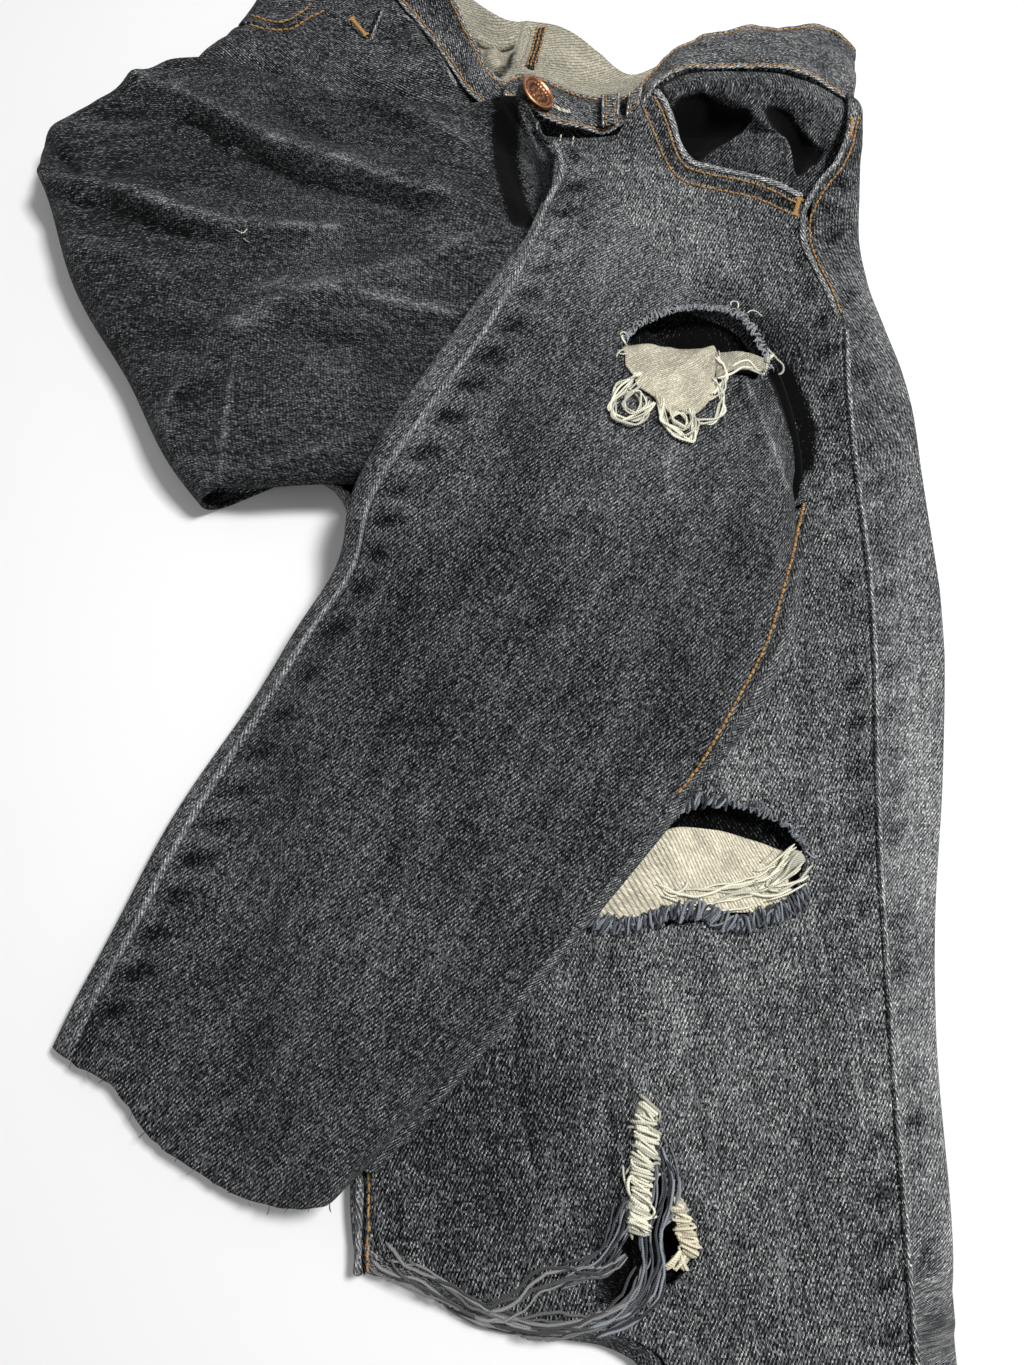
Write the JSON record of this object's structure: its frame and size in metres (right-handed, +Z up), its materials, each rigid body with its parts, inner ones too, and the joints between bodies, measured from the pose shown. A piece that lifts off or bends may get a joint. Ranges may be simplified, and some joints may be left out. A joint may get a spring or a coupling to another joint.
{
  "type": "ripped jeans",
  "caption": "Pair of ripped slim jeans lying folded flat on a surface, one leg straight, the other folded back over the hips and across it.",
  "frame": {"origin": "centre of the bounding box at the surface that the jeans lie on", "axes": "+Z up from the surface, +Y along the straight leg from its hem to the waist, +X to the wearer's left"},
  "size_m": [0.3758, 1.054, 0.0374],
  "materials": {
    "denim": "dark stretch denim",
    "denim_washed": "washed denim",
    "denim_reverse": "reverse side of denim",
    "thread": "loose cotton yarn",
    "copper": "worn copper plate"
  },
  "bodies": {
    "root": {"waistband_back": "denim_reverse", "left_back_panel": "denim", "left_front_panel": "denim_washed", "left_pocket_facing": "denim", "fly_placket": "denim", "right_front_hip": "denim_washed", "right_pocket_facing": "denim", "waistband_right": "denim_washed", "waistband_left": "denim_washed", "button": "copper", "right_back_panel": "denim", "folded_layers": "denim", "right_back_shin": "denim", "right_front_shin": "denim", "knee_rip_right_fringe": "thread", "thigh_rip_left_fringe": "thread", "knee_rip_left_fringe": "thread", "knee_rip_right_tongue": "denim_reverse", "thigh_rip_left_tongue": "denim_reverse", "belt_loop_1": "denim_washed", "belt_loop_2": "denim_washed"}
  },
  "joints": []
}
